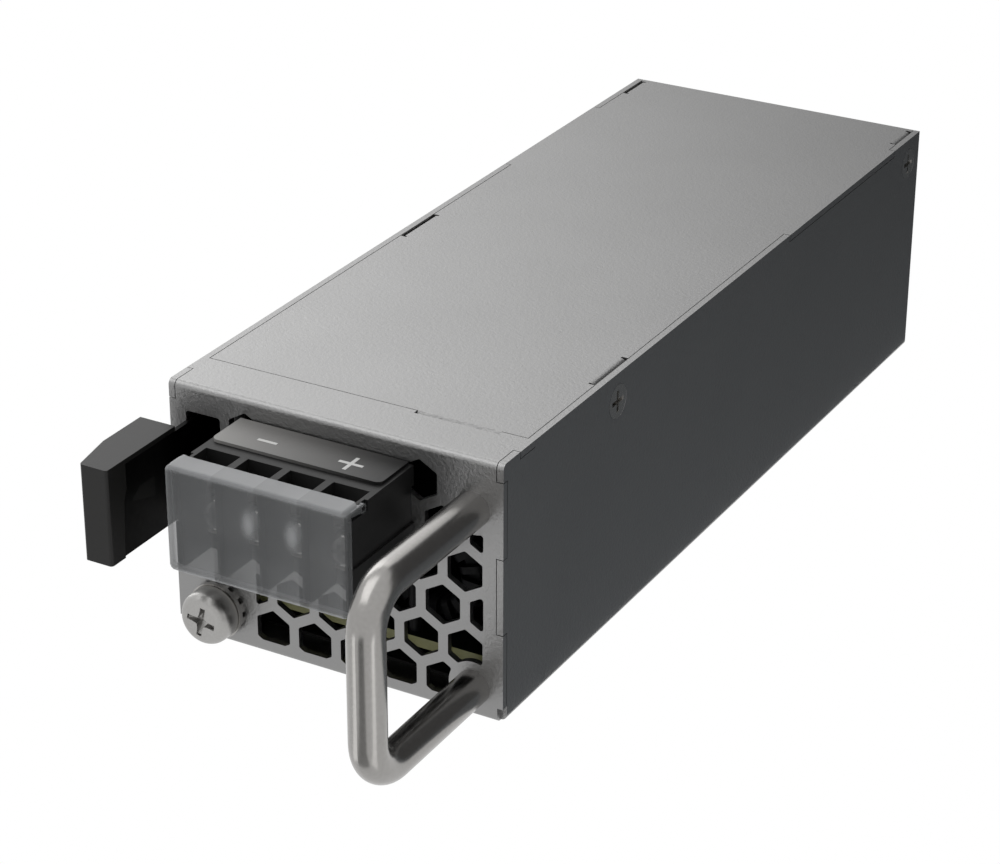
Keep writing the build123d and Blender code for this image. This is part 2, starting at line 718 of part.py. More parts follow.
def flap_hook(left, back):
    """Arm under the lip with a ring round the peg."""
    under = FLAP_Z[1] - LIP_T
    reach = HOOK_R * math.sqrt(0.5)
    arm = outline(
        (back, under),
        (FRONT - LIP_BACK, under),
        (HINGE_Y + reach, HINGE_Z + reach),
        (HINGE_Y, HINGE_Z),
        (HINGE_Y - reach, HINGE_Z - reach),
        (back, HINGE_Z),
    )
    ring = arm + Pos(HINGE_Y, HINGE_Z) * Circle(HOOK_R) - Pos(HINGE_Y, HINGE_Z) * Circle(PEG_R + SLIP)
    return extrude(sideways(left) * ring, amount=HOOK_T)


def latch_lever():
    """Stamped lever with a rolled eye at the rear and a lanced tooth through the wall."""
    face = lever_outline() - cap_key()
    lance = (FRONT + TOOTH_FACE_D - TOOTH_LEG - LANCE_GAP, FRONT + TOOTH_ROOT_D - LEVER_T / 2)
    face -= rectangle(lance, (TOOTH_Z[0] - CLEAR, TOOTH_Z[1] + CLEAR))
    lever = extrude(sideways(LEVER_X) * face, amount=LEVER_T)
    eye = Circle(PIN_R + SLIP + EYE_T) - Circle(PIN_R + SLIP)
    lever += Pos(PIVOT_X, PIVOT_Y, EYE_Z[0]) * extrude(eye, amount=EYE_H)
    lever -= rod(PIN_R + SLIP, (PIVOT_X, PIVOT_Y, 0), (PIVOT_X, PIVOT_Y, CASE_H))
    spring_room = Pos(PIVOT_X, PIVOT_Y) * Circle(PIN_R + SLIP + EYE_T + OVER)
    lever -= Pos(0, 0, EYE_GAP[0]) * extrude(spring_room, amount=EYE_GAP_H)
    return lever + latch_tooth()


def lever_outline():
    """Side view of the lever: stepped front edge, straight arm, narrower neck."""
    top_d, step_d, low_d = LEVER_TIP_D
    neck = FRONT + NECK_D
    return outline(
        (FRONT - low_d, LEVER_Z[0]),
        (neck - NECK_TAPER, LEVER_Z[0]),
        (neck, EYE_Z[0]),
        (PIVOT_Y, EYE_Z[0]),
        (PIVOT_Y, EYE_Z[1]),
        (neck, EYE_Z[1]),
        (neck - NECK_TAPER, LEVER_Z[1]),
        (FRONT - top_d, LEVER_Z[1]),
        (FRONT - top_d, LATCH_Z + LEVER_STEP[1]),
        (FRONT - step_d, LATCH_Z + LEVER_STEP[0]),
    )


def latch_tooth():
    """Strip lanced from the lever: a ramp out through the wall, then a square leg back."""
    middle = LEVER_X + LEVER_T / 2
    tip = -HALF_W - TOOTH_OUT + LEVER_T / 2
    face_y = FRONT + TOOTH_FACE_D + LEVER_T / 2
    root = (middle, FRONT + TOOTH_ROOT_D)
    path = Polyline(root, (tip, face_y + TOOTH_RAKE), (tip + TOOTH_LEG, face_y))
    strip = make_face(offset(path, amount=LEVER_T / 2, side=Side.BOTH))
    return Pos(0, 0, TOOTH_Z[0]) * extrude(strip, amount=TOOTH_Z[1] - TOOTH_Z[0])


def cap_key():
    """Rounded opening in the lever that the moulded cap fills."""
    near, middle, far = [FRONT - depth for depth in KEY_D]
    low, tip, high = [LATCH_Z + rise for rise in KEY_RISE]
    opening = outline((near, low), (near, high), (middle, high), (far, tip))
    return fillet(opening.vertices(), KEY_CORNER)


def latch_cap():
    """Moulded finger piece round the lever's front end, tapered towards its front."""
    front, rear = FRONT - CAP_D[1], FRONT - CAP_D[0]
    flush = LEVER_X + LEVER_T
    plan = outline(
        (flush, rear),
        (CAP_LEFT, rear),
        (CAP_LEFT, FRONT - CAP_TAPER_D),
        (CAP_LEFT + CAP_TAPER, front),
        (flush, front),
    )
    cap = Pos(0, 0, CAP_Z[0]) * extrude(plan, amount=CAP_Z[1] - CAP_Z[0])
    uprights = cap.edges().filter_by(Axis.Z).group_by(Axis.Y)[0]
    cap = fillet(uprights, CAP_ROUND)
    seat = offset(lever_outline(), amount=SLIP) - cap_key()
    seat += rectangle((FRONT - LEVER_TIP_D[-1] - SLIP, rear + OVER), (0, LEVER_Z[0]))
    return cap - extrude(sideways(LEVER_X) * seat, amount=LEVER_T + OVER)


def latch_bracket():
    """U-shaped bracket on the left wall, its ears above and below the lever's eye."""
    wall = -WALL_IN
    low, high = EYE_Z[0] - CLEAR, EYE_Z[1] + CLEAR
    depth = (FRONT + BRACKET_D[0], FRONT + BRACKET_D[1])
    bracket = block((wall, wall + BRACKET_T), depth, (low - BRACKET_T, high + BRACKET_T))
    ear = rectangle((wall, PIVOT_X), (PIVOT_Y - EAR_R, PIVOT_Y + EAR_R))
    ear += Pos(PIVOT_X, PIVOT_Y) * Circle(EAR_R)
    ear -= Pos(PIVOT_X, PIVOT_Y) * Circle(PIN_R + SLIP)
    for z in (low - BRACKET_T, high):
        bracket += Pos(0, 0, z) * extrude(ear, amount=BRACKET_T)
    for z in rivet_heights():
        bracket -= rivet_shape(z, SLIP)
    return bracket


def rivet_heights():
    """Heights of the two rivets of the latch bracket."""
    return (EYE_GAP[0] - RIVET_R, EYE_GAP[1] + RIVET_R)


def rivet_shape(z, gap):
    """Rivet with its outer head sunk flush in the wall and a low head inside."""
    y = FRONT + sum(BRACKET_D) / 2
    sunk = RIVET_HEAD_R - RIVET_R
    plane = Plane(origin=(-HALF_W, y, z), z_dir=(1, 0, 0))
    cone = Pos(0, 0, sunk / 2) * Cone(RIVET_HEAD_R + gap, RIVET_R + gap, sunk)
    grip = SHEET + BRACKET_T
    shank = Pos(0, 0, grip / 2) * Cylinder(RIVET_R + gap, grip)
    return plane * (cone + shank)


def latch_rivets():
    """Two flush rivets through the wall and the bracket."""
    rivets = []
    for z in rivet_heights():
        y = FRONT + sum(BRACKET_D) / 2
        seat = -WALL_IN + BRACKET_T
        head = rod(RIVET_HEAD_R, (seat, y, z), (seat + RIVET_HEAD_H, y, z))
        rivets.append(rivet_shape(z, 0) + head)
    return rivets


def latch_pin():
    """Headed pin through both ears and the lever's eye, peened below."""
    top = EYE_Z[1] + CLEAR + BRACKET_T
    bottom = EYE_Z[0] - CLEAR - BRACKET_T
    foot = bottom - PIN_FOOT
    pin = rod(PIN_R, (PIVOT_X, PIVOT_Y, foot), (PIVOT_X, PIVOT_Y, top))
    pin += rod(PIN_R + PIN_HEAD, (PIVOT_X, PIVOT_Y, top), (PIVOT_X, PIVOT_Y, top + PIN_HEAD))
    return pin + rod(PIN_R + PIN_FOOT, (PIVOT_X, PIVOT_Y, foot), (PIVOT_X, PIVOT_Y, bottom))


def latch_spring():
    """Close-wound torsion spring round the pin, one leg on the lever, one on the bracket."""
    radius = PIN_R + CLEAR + SPRING_WIRE / 2
    pitch = SPRING_WIRE * SPRING_PACK
    half = (SPRING_TURNS - 1) / 2 * pitch
    section = Pos(radius, -half) * Circle(SPRING_WIRE / 2)
    for i in range(1, SPRING_TURNS):
        section += Pos(radius, i * pitch - half) * Circle(SPRING_WIRE / 2)
    spring = Pos(PIVOT_X, PIVOT_Y, LATCH_Z) * revolve(Plane.XZ * section, axis=Axis.Z)
    top, low = LATCH_Z + half, LATCH_Z - half
    right, left = PIVOT_X + radius, PIVOT_X - radius
    on_lever = (LEVER_X + LEVER_T + CLEAR, PIVOT_Y - SPRING_LEG[0], top)
    on_wall = (left - SPRING_SPREAD, PIVOT_Y - SPRING_LEG[1], low)
    spring += rod(SPRING_WIRE / 2, (right, PIVOT_Y, top), on_lever)
    return spring + rod(SPRING_WIRE / 2, (left, PIVOT_Y, low), on_wall)


def earth_screw():
    """Large round-headed screw with a straight skirt, domed to a flat crown."""
    seat = FRONT - TOOTHED_T - WASHER_T
    rim = (EARTH_HEAD_R, EARTH_SKIRT_H)
    crown = (EARTH_CROWN_R, EARTH_HEAD_H)
    profile = make_face(
        Polyline((0, 0), (EARTH_HEAD_R, 0), rim)
        + ThreePointArc(rim, EARTH_SHOULDER, crown)
        + Polyline(crown, (0, EARTH_HEAD_H), (0, 0))
    )
    head = revolve(Plane.XZ * profile, axis=Axis.Z)
    grip = TOOTHED_T + WASHER_T + SHEET + NUT_H
    shank = Pos(0, 0, -grip / 2) * Cylinder(EARTH_SHANK_R, grip)
    recess = Pos(0, 0, EARTH_HEAD_H) * Rot(0, 0, EARTH_TURN) * cross_recess(*EARTH_RECESS)
    return Plane(origin=(EARTH_X, seat, EARTH_Z), z_dir=(0, -1, 0)) * (head + shank - recess)


def earth_flat_washer():
    """Plain washer under the head."""
    ring = Pos(EARTH_X, EARTH_Z) * (Circle(WASHER_R) - Circle(EARTH_SHANK_R + SLIP))
    return extrude(upright(FRONT - TOOTHED_T) * ring, amount=WASHER_T)


def earth_lock_washer():
    """Washer with teeth round its rim, against the front face."""
    ring = Circle(TOOTHED_R) - Circle(EARTH_SHANK_R + SLIP)
    notch = Pos(TOOTHED_R, 0) * Rectangle(*TOOTHED_NOTCH)
    for i in range(TOOTHED_COUNT):
        ring -= Rot(0, 0, 360 / TOOTHED_COUNT * i) * notch
    return extrude(upright(FRONT) * (Pos(EARTH_X, EARTH_Z) * ring), amount=TOOTHED_T)


def earth_nut():
    """Clinched round nut behind the front face."""
    ring = Pos(EARTH_X, EARTH_Z) * (Circle(NUT_R) - Circle(EARTH_SHANK_R + SLIP))
    return extrude(upright(FRONT + SHEET + NUT_H) * ring, amount=NUT_H)


def main_board():
    """Circuit board on spacers, with a narrower card edge out through the rear."""
    rear = REAR - SHEET - BOARD_BACK
    plan = rectangle((-BOARD_HALF, BOARD_HALF), (FRONT + BOARD_FRONT, rear))
    plan += rectangle((-EDGE_W / 2, EDGE_W / 2), (rear - OVER, REAR + EDGE_OUT))
    tips = plan.vertices().group_by(Axis.Y)[-1]
    plan = chamfer(tips, EDGE_BEVEL)
    for x, y in SPACERS:
        plan -= Pos(x, y) * Circle(BOARD_SCREW_R + SLIP)
    return Pos(0, 0, BOARD_Z) * extrude(plan, amount=BOARD_T)


def edge_contacts():
    """Gold pads on both faces of the card edge: signal pads between two power pads."""
    end = REAR + EDGE_OUT - EDGE_BEVEL
    signal = [PAD_PITCH * (i - (PADS - 1) / 2) for i in range(PADS)]
    spans = [(x - PAD_W / 2, x + PAD_W / 2) for x in signal]
    inner = signal[-1] + PAD_PITCH - PAD_W / 2
    outer = EDGE_W / 2 - EDGE_BEVEL
    spans += [(inner, outer), (-outer, -inner)]
    pads = []
    for z in (BOARD_TOP, BOARD_Z - PAD_T):
        pads += [block(span, (end - PAD_LEN, end), (z, z + PAD_T)) for span in spans]
    return pads


def board_spacers():
    """Round spacers between the floor and the board, threaded for its screws."""
    spacers = []
    for x, y in SPACERS:
        spacer = rod(SPACER_R, (x, y, SHEET), (x, y, BOARD_Z))
        bore_end = BOARD_TOP - BOARD_SCREW_LEN - OVER
        bore = rod(BOARD_SCREW_R + SLIP, (x, y, bore_end), (x, y, BOARD_Z + OVER))
        spacers.append(spacer - bore)
    return spacers


def board_screws():
    """Screws that hold the board down."""
    size = (BOARD_HEAD_R, BOARD_HEAD_H, BOARD_SCREW_R, BOARD_SCREW_LEN)
    return [pan_screw((x, y, BOARD_TOP), (0, 0, 1), *size) for x, y in SPACERS]


def insulating_sheet():
    """Plastic film on the floor under the board, cut out round the spacers."""
    film = rectangle((-BOARD_HALF, BOARD_HALF), (FRONT + FILM_D[0], FRONT + FILM_D[1]))
    for x, y in SPACERS:
        film -= Pos(x, y) * Circle(SPACER_R + CLEAR)
    return Pos(0, 0, SHEET) * extrude(film, amount=FILM_T)


def input_leads():
    """Insulated leads from the contact blades down to the board."""
    leads = []
    z = BLADE_Z + BLADE_T / 2
    start = FRONT + SHEET + BLADE_INSIDE
    down = FRONT + LEAD_D
    for x in TERMINAL_X:
        turn = FilletPolyline((x, start, z), (x, down, z), (x, down, BOARD_TOP), radius=LEAD_BEND)
        section = Plane(origin=(x, start, z), z_dir=(0, 1, 0)) * Circle(LEAD_R)
        leads.append(sweep(section, path=turn))
    return leads


def choke():
    """Ring choke standing on the board, wound with thick wire but for a gap at its top."""
    x, depth = CHOKE_POS
    inner, outer = CHOKE_R
    centre = Pos(x, FRONT + depth, BOARD_TOP + outer)
    ring = Circle(outer - CHOKE_WIRE) - Circle(inner + CHOKE_WIRE)
    core_t = CHOKE_T - 2 * CHOKE_WIRE
    body = Pos(0, -core_t / 2, 0) * extrude(Plane.XZ * ring, amount=-core_t)
    loop = RectangleRounded(outer - inner, CHOKE_T, CHOKE_WIRE)
    turn = extrude(loop, amount=CHOKE_WIRE / 2, both=True)
    for i in range(CHOKE_TURNS):
        angle = 90 + (360 - CHOKE_SPREAD) / 2 + CHOKE_SPREAD * i / (CHOKE_TURNS - 1)
        body += Rot(0, -angle, 0) * Pos((inner + outer) / 2, 0, 0) * turn
    return centre * body


def filter_capacitor():
    """Box-shaped filter capacitor near the input."""
    depth = (FRONT + FILTER_D[0], FRONT + FILTER_D[1])
    body = block(FILTER_X, depth, (BOARD_TOP, BOARD_TOP + FILTER_H))
    return fillet(body.edges().filter_by(Axis.Z), FILTER_ROUND)


def heat_sink(side, depth):
    """Extruded sink: upright base with fins towards the wall."""
    base = (side * SINK_X, side * (SINK_X + SINK_BASE))
    top = BOARD_TOP + SINK_H
    profile = rectangle(tuple(sorted(base)), (BOARD_TOP, top))
    fin = tuple(sorted((side * SINK_X, side * (SINK_X + SINK_BASE + SINK_OUT))))
    step = (SINK_H - SINK_FIN_T - BOARD_HEAD_H - OVER) / (SINK_FINS - 1)
    for i in range(SINK_FINS):
        high = top - i * step
        profile += rectangle(fin, (high - SINK_FIN_T, high))
    rear = FRONT + depth[1]
    return extrude(upright(rear) * profile, amount=depth[1] - depth[0])


def heat_sinks():
    """One sink on each side, the left one behind the latch."""
    return [heat_sink(1, SINK_RIGHT_D), heat_sink(-1, SINK_LEFT_D)]


def power_transistors():
    """Flat packages screwed to the inner faces of the heat sinks."""
    packages = []
    for side, depth in ((1, SINK_RIGHT_D), (-1, SINK_LEFT_D)):
        pitch = (depth[1] - depth[0]) / POWER_COUNT
        across = tuple(sorted((side * (SINK_X - POWER_T), side * SINK_X)))
        for i in range(POWER_COUNT):
            y = FRONT + depth[0] + pitch * (i + 0.5)
            span = (y - POWER_W / 2, y + POWER_W / 2)
            packages.append(block(across, span, (BOARD_TOP, BOARD_TOP + POWER_H)))
    return packages


def transformer_core():
    """Ferrite core: two outer legs and a middle leg joined by yokes."""
    depth = (FRONT + CORE_D[0], FRONT + CORE_D[1])
    height = (BOARD_TOP, BOARD_TOP + CORE_H)
    core = block(CORE_X, depth, height)
    for low, high in core_windows():
        core -= block(CORE_X, (low, high), (height[0] + CORE_LEG, height[1] - CORE_LEG))
    return core


def core_windows():
    """The two window spans between the legs, along the case."""
    length = CORE_D[1] - CORE_D[0]
    gap = (length - 4 * CORE_LEG) / 2
    first = FRONT + CORE_D[0] + CORE_LEG
    second = first + gap + 2 * CORE_LEG
    return ((first, first + gap), (second, second + gap))


def transformer_winding():
    """Wound coil round the middle leg, standing out on both sides of the core."""
    (first, start), (end, last) = core_windows()
    low = BOARD_TOP + CORE_LEG + SLIP
    high = BOARD_TOP + CORE_H - CORE_LEG - SLIP
    width = (CORE_X[0] - WINDING_OVER, CORE_X[1] + WINDING_OVER)
    plan = rectangle(width, (first + SLIP, last - SLIP))
    plan = fillet(plan.vertices(), WINDING_ROUND)
    plan -= rectangle((CORE_X[0] - SLIP, CORE_X[1] + SLIP), (start - SLIP, end + SLIP))
    return Pos(0, 0, low) * extrude(plan, amount=high - low)


def bulk_capacitors():
    """Row of standing can capacitors with a groove round the foot."""
    cans = []
    for depth in CAPACITOR_D:
        y = FRONT + depth
        can = Pos(0, 0, CAPACITOR_H / 2) * Cylinder(CAPACITOR_R, CAPACITOR_H)
        can = fillet(can.edges().filter_by(GeomType.CIRCLE), CAPACITOR_ROUND)
        ring = Circle(CAPACITOR_R + OVER) - Circle(CAPACITOR_R - GROOVE_D)
        can -= Pos(0, 0, GROOVE_Z) * extrude(ring, amount=GROOVE_H)
        cans.append(Pos(CAPACITOR_X, y, BOARD_TOP) * can)
    return cans


def fan_frame():
    """Square frame with a round duct, corner holes and a spider that carries the rotor."""
    square = Pos(0, FAN_Z) * Rectangle(FAN_SIZE, FAN_SIZE)
    plan = fillet(square.vertices(), FAN_CORNER) - Pos(0, FAN_Z) * Circle(FAN_BORE_R)
    for x, z in fan_screw_places():
        plan -= Pos(x, z) * Circle(FAN_SCREW_R + SLIP)
    frame = extrude(upright(FAN_REAR) * plan, amount=FAN_DEPTH)
    spider = Circle(FAN_HUB_R)
    arm = Pos((FAN_BORE_R + CLEAR) / 2, 0) * Rectangle(FAN_BORE_R + CLEAR, FAN_SPIDER_W)
    for i in range(FAN_SPIDER_ARMS):
        spider += Rot(0, 0, 90 + 360 / FAN_SPIDER_ARMS * i) * arm
    spider = Pos(0, FAN_Z) * (spider - Circle(FAN_SHAFT_R + SLIP))
    inner = upright(FAN_REAR - FAN_DEPTH + FAN_SPIDER_T)
    return frame + extrude(inner * spider, amount=FAN_SPIDER_T)


def fan_screw_places():
    """Centres of the fan's corner holes."""
    half = FAN_SIZE / 2 - FAN_HOLE_INSET
    return [(x, FAN_Z + z) for x in (-half, half) for z in (-half, half)]


def fan_rotor():
    """Hub with pitched blades, its shaft in the spider's bearing."""
    front = FAN_REAR - FAN_DEPTH + FAN_SPIDER_T + CLEAR
    hub = rod(FAN_HUB_R, (0, front, FAN_Z), (0, front + FAN_HUB_DEPTH, FAN_Z))
    hub = fillet(hub.edges().filter_by(GeomType.CIRCLE).sort_by(Axis.Y)[-1], FAN_HUB_ROUND)
    rotor = hub + rod(FAN_SHAFT_R, (0, FAN_REAR - FAN_DEPTH, FAN_Z), (0, front, FAN_Z))
    span = FAN_TIP_R + OVER
    middle = Pos(0, front + FAN_HUB_DEPTH / 2, FAN_Z)
    reach = middle * Rot(90, 0, 0) * Cylinder(FAN_TIP_R, FAN_HUB_DEPTH - 2 * CLEAR)
    blade = Pos(span / 2, 0, 0) * Rot(FAN_BLADE_PITCH, 0, 0) * Box(span, FAN_BLADE_CHORD, FAN_BLADE_T)
    for i in range(FAN_BLADES):
        rotor += (middle * Rot(0, 360 / FAN_BLADES * i, 0) * blade) & reach
    return rotor


def fan_screws():
    """Screws through the rear panel into the fan."""
    size = (FAN_HEAD_R, FAN_HEAD_H, FAN_SCREW_R, FAN_SCREW_LEN)
    return [pan_screw((x, REAR, z), (0, 1, 0), *size) for x, z in fan_screw_places()]


def rear_panel():
    """Rear sheet between the walls, with side flanges, fan vents and the card-edge slot."""
    edge = WALL_IN - SEAM
    panel = block((-edge, edge), (REAR - SHEET, REAR), (SHEET, LID_Z - SEAM))
    flange = block((edge - SHEET, edge), (REAR - REAR_FLANGE_D, REAR - SHEET), REAR_FLANGE_Z)
    for side in mirrored(flange):
        panel += side
    slot = EDGE_W / 2 + CLEAR
    panel -= block((-slot, slot), (REAR - 2 * SHEET, REAR + OVER), (BOARD_Z - CLEAR, BOARD_TOP + CLEAR))
    holes = [Pos(x, z) * hexagon(REAR_HEX_FLATS) for x, z in rear_vent_centres()]
    holes += [Pos(x, z) * Circle(FAN_SCREW_R + SLIP) for x, z in fan_screw_places()]
    for hole in holes:
        panel -= extrude(upright(REAR + OVER) * hole, amount=SHEET + 2 * OVER)
    return panel


def rear_vent_centres():
    """Honeycomb centres that fall inside the fan's duct."""
    row_step = REAR_HEX_PITCH * math.sqrt(3) / 2
    reach = FAN_BORE_R - REAR_HEX_FLATS / 2
    half = REAR_HEX_ROWS // 2
    centres = []
    for row in range(-half, half + 1):
        for column in range(-half - 1, half + 2):
            x = (column + (row % 2) / 2) * REAR_HEX_PITCH
            if math.hypot(x, row * row_step) < reach:
                centres.append((x, FAN_Z + row * row_step))
    return centres


PARTS = {
    "chassis": chassis,
    "top_cover": top_cover,
    "cover_screws": cover_screws,
    "rear_panel": rear_panel,
    "handle": handle,
    "handle_screws": handle_screws,
    "latch_lever": latch_lever,
    "latch_cap": latch_cap,
    "latch_bracket": latch_bracket,
    "latch_rivets": latch_rivets,
    "latch_pin": latch_pin,
    "latch_spring": latch_spring,
    "terminal_housing": terminal_housing,
    "block_screws": block_screws,
    "terminal_contacts": terminal_contacts,
    "terminal_clamps": terminal_clamps,
    "terminal_screws": terminal_screws,
    "terminal_label": terminal_label,
    "terminal_flap": terminal_flap,
    "earth_screw": earth_screw,
    "earth_flat_washer": earth_flat_washer,
    "earth_lock_washer": earth_lock_washer,
    "earth_nut": earth_nut,
    "main_board": main_board,
    "edge_contacts": edge_contacts,
    "board_spacers": board_spacers,
    "board_screws": board_screws,
    "insulating_sheet": insulating_sheet,
    "input_leads": input_leads,
    "choke": choke,
    "filter_capacitor": filter_capacitor,
    "heat_sinks": heat_sinks,
    "power_transistors": power_transistors,
    "transformer_core": transformer_core,
    "transformer_winding": transformer_winding,
    "bulk_capacitors": bulk_capacitors,
    "fan_frame": fan_frame,
    "fan_rotor": fan_rotor,
    "fan_screws": fan_screws,
}

for name, build in PARTS.items():
    made = build()
    solids = made if isinstance(made, list) else [made]
    pieces = [solid for item in solids for solid in item.solids()]
    shape = pieces[0] if len(pieces) == 1 else Compound(children=pieces)
    export_step(shape, f"parts/{name}.step")
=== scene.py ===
import math

import bpy
import numpy as np
from mathutils import Matrix, Vector


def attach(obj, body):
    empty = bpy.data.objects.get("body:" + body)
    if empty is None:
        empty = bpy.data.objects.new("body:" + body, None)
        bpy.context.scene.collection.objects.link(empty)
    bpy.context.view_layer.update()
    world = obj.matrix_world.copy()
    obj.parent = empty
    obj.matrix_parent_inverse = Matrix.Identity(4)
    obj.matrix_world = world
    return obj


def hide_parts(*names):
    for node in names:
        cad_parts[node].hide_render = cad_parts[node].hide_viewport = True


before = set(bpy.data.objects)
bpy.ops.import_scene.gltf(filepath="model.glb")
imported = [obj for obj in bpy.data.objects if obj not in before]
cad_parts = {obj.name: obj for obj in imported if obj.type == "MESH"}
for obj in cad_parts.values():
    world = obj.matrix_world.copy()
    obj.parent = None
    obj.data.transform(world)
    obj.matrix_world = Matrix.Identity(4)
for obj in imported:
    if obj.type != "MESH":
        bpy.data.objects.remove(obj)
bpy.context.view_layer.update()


def added(name, data):
    """A new object with this data, in the scene."""
    made = bpy.data.objects.new(name, data)
    bpy.context.scene.collection.objects.link(made)
    return made


# Camera: it looks down on the front right corner of the supply from about half a metre,
# with a long lens, so the sides of the case draw together only a little.
eye = Vector((0.194817, -0.371502, 0.214887))
ahead = Vector((-0.43975, 0.78088, -0.44368)).normalized()
sideways = Vector((0.870759, 0.491705, 0.0023535))
right = (sideways - ahead * sideways.dot(ahead)).normalized()
up = right.cross(ahead)
camera_data = bpy.data.cameras.new("camera")
camera_data.lens = 104.84
camera_data.sensor_width = 36.0
camera_data.clip_start = 0.01
camera_data.clip_end = 20.0
camera = added("camera", camera_data)
camera.matrix_world = Matrix.Translation(eye) @ Matrix((right, up, -ahead)).transposed().to_4x4()
bpy.context.scene.camera = camera
bpy.context.scene.view_settings.view_transform = "Standard"


class Wire:
    """A shader socket that takes part in sums: each operator adds its own Math node."""

    def __init__(self, finish, socket):
        self.finish = finish
        self.socket = socket

    def math(self, operation, other=0.0, swap=False):
        """The result of a Math node on this socket and another value, swapped or not."""
        pair = (other, self) if swap else (self, other)
        return self.finish.node("ShaderNodeMath", {"operation": operation}, {0: pair[0], 1: pair[1]})

    def __add__(self, other):
        return self.math("ADD", other)

    def __radd__(self, other):
        return self.math("ADD", other, swap=True)

    def __sub__(self, other):
        return self.math("SUBTRACT", other)

    def __rsub__(self, other):
        return self.math("SUBTRACT", other, swap=True)

    def __mul__(self, other):
        return self.math("MULTIPLY", other)

    def __rmul__(self, other):
        return self.math("MULTIPLY", other, swap=True)

    def clamped(self):
        """The value kept between 0 and 1."""
        return self.finish.node("ShaderNodeClamp", {}, {"Value": self})


class Finish:
    """A material, or the world, with its nodes; node() is the one way to add a node."""

    def __init__(self, name, owner=None):
        self.owner = owner or bpy.data.materials.new(name)
        self.owner.use_nodes = True
        self.tree = self.owner.node_tree
        self.shader = self.tree.nodes.get("Principled BSDF")

    def node(self, kind, settings=None, inputs=None, output=0):
        """Adds a node of this kind with its settings, then its values and links."""
        made = self.tree.nodes.new(kind)
        for key, value in (settings or {}).items():
            setattr(made, key, value)
        for key, value in (inputs or {}).items():
            self.join(made.inputs[key], value)
        return Wire(self, made.outputs[output])

    def join(self, socket, value):
        """Links a wire to a socket, or sets the socket's own value; a colour is three numbers."""
        if isinstance(value, Wire):
            self.tree.links.new(value.socket, socket)
        elif socket.type == "RGBA":
            socket.default_value = (*value, 1.0)
        else:
            socket.default_value = value

    def set(self, values):
        """Sets or links the Principled shader's sockets by their names."""
        for key, value in values.items():
            self.join(self.shader.inputs[key], value)
        return self

    def place(self):
        """The point on the piece, in metres in the frame."""
        return self.node("ShaderNodeTexCoord", output="Object")

    def along(self, vector, axis):
        """One part of a vector: axis 0, 1 or 2 is X, Y or Z."""
        return self.node("ShaderNodeSeparateXYZ", {}, {0: vector}, axis)

    def noise(self, per_metre, detail=2.0, rough=0.5):
        """Cloudy noise between 0 and 1 with this many cells in a metre."""
        inputs = {"Vector": self.place(), "Scale": per_metre, "Detail": detail, "Roughness": rough}
        return self.node("ShaderNodeTexNoise", {}, inputs, "Fac")

    def blend(self, share, one, two):
        """A colour between one and two by a share from 0 to 1."""
        return self.node("ShaderNodeMix", {"data_type": "RGBA"}, {0: share, 6: one, 7: two}, 2)

    def bump(self, height, depth, strength=1.0):
        """A surface normal from a height, depth metres deep."""
        inputs = {"Height": height, "Distance": depth, "Strength": strength}
        return self.node("ShaderNodeBump", {}, inputs, "Normal")

    def mottle(self, per_metre, dark, pale, rough, spread=0.12, detail=3.0, depth=0.0):
        """A colour that wanders between two tones, with its roughness and a relief this deep."""
        cloud = self.noise(per_metre, detail)
        if depth:
            self.set({"Normal": self.bump(cloud, depth, strength=0.6)})
        return self.set({"Base Color": self.blend(cloud, dark, pale), "Roughness": rough + spread * cloud})

    def moulded(self, per_metre, colour, gloss, rough, depth, strength, spread=0.08):
        """One colour with the fine texture that a mould leaves; gloss is the specular level."""
        texture = self.noise(per_metre)
        return self.set({
            "Base Color": colour,
            "Specular IOR Level": gloss,
            "Roughness": rough + spread * texture,
            "Normal": self.bump(texture, depth, strength),
        })

    def cover(self, *meshes):
        """Gives this finish alone to meshes."""
        for mesh in meshes:
            mesh.materials.clear()
            mesh.materials.append(self.owner)
        return self

    def dress(self, *names):
        """Gives this finish to CAD nodes."""
        return self.cover(*[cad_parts[name].data for name in names])


def metal(name, per_metre, dark, pale, rough, spread=0.12, detail=3.0):
    """Finish of a metal that wanders between two tones."""
    return Finish(name).set({"Metallic": 1.0}).mottle(per_metre, dark, pale, rough, spread, detail)


# Studio: a white floor that runs out to a white background. Camera, glossy and transmitted
# rays see it plain white, and other rays see a matte floor that keeps the shadow.
BLACK = (0.0, 0.0, 0.0)
WHITE = (1.0, 1.0, 1.0)
FLOOR_HALF = 3.0
PAPER_WHITE = (0.85, 0.85, 0.85)
PAPER_ROUGH = 0.9
WORLD_GREY = (0.75, 0.75, 0.75)


def sheet(name, corners):
    """A new object of one flat face with these corners."""
    mesh = bpy.data.meshes.new(name)
    mesh.from_pydata(corners, [], [(0, 1, 2, 3)])
    return added(name, mesh)


def white_to_eye(finish, dim):
    """Mix of a plain white glow for the rays that see the background and the dim shader."""
    rays = ("Is Camera Ray", "Is Glossy Ray", "Is Transmission Ray")
    seen = [finish.node("ShaderNodeLightPath", output=ray) for ray in rays]
    share = (seen[0] + seen[1] + seen[2]).clamped()
    glow = finish.node("ShaderNodeEmission", {}, {"Color": WHITE, "Strength": 1.0})
    return finish.node("ShaderNodeMixShader", {}, {0: share, 1: dim, 2: glow})


floor_corners = [(x * FLOOR_HALF, y * FLOOR_HALF, 0.0) for x, y in ((-1, -1), (1, -1), (1, 1), (-1, 1))]
floor = sheet("floor", floor_corners)
floor_finish = Finish("floor_paper")
floor_finish.set({"Base Color": PAPER_WHITE, "Roughness": PAPER_ROUGH})
paper = Wire(floor_finish, floor_finish.shader.outputs[0])
floor_out = floor_finish.tree.nodes["Material Output"]
floor_finish.join(floor_out.inputs["Surface"], white_to_eye(floor_finish, paper))
floor_finish.cover(floor.data)

